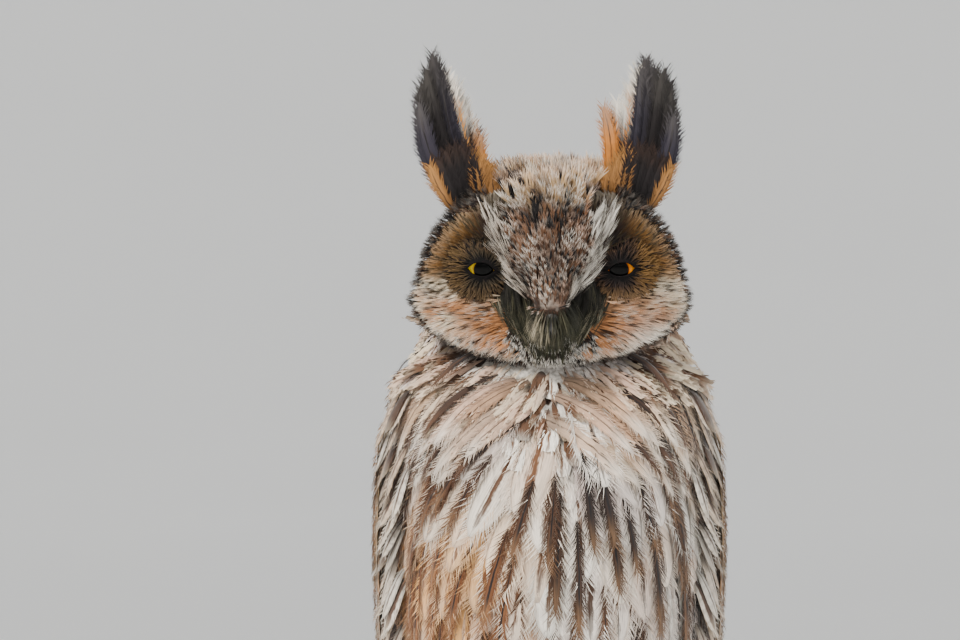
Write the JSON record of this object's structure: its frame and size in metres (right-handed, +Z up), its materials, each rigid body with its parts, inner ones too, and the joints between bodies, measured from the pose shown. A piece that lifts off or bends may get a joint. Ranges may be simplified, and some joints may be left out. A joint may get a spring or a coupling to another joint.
{
  "type": "long-eared owl model",
  "caption": "Life-size still model of a roosting long-eared owl, ear tufts raised, perched on a cut branch over a round display stand.",
  "frame": {"origin": "centre of the underside of the stand's round base", "axes": "+Z up; the owl faces -Y, its left side is at +X; the perch runs along X"},
  "size_m": [0.184, 0.184, 0.3842],
  "materials": {
    "plumage": "soft buff and white feathers with dark brown streaks",
    "flight_feathers": "grey-brown feathers with dark bars and buff patches",
    "ear_tuft": "black-brown feathers with tawny and white edges",
    "leg_down": "short plain tawny-buff feathers",
    "eye": "wet, orange-yellow iris and black pupil",
    "bill": "satin blackish horn",
    "claw": "satin black horn",
    "bark": "rough grey-brown bark, pale cut ends",
    "stand_wood": "dark stained, satin",
    "stand_metal": "satin"
  },
  "bodies": {
    "root": {"bill_lower": "bill", "bill_upper": "bill", "claw_left_hind": "claw", "claw_left_inner": "claw", "claw_left_middle": "claw", "claw_left_outer": "claw", "claw_right_hind": "claw", "claw_right_inner": "claw", "claw_right_middle": "claw", "claw_right_outer": "claw", "ear_tuft_left": "ear_tuft", "ear_tuft_right": "ear_tuft", "eye_left": "eye", "eye_right": "eye", "foot_left": "leg_down", "foot_right": "leg_down", "head": "plumage", "leg_left": "leg_down", "leg_right": "leg_down", "neck": "plumage", "perch": "bark", "stand_base": "stand_wood", "stand_rod_left": "stand_metal", "stand_rod_right": "stand_metal", "tail": "flight_feathers", "torso": "plumage", "wing_left": "flight_feathers", "wing_right": "flight_feathers"}
  },
  "joints": []
}
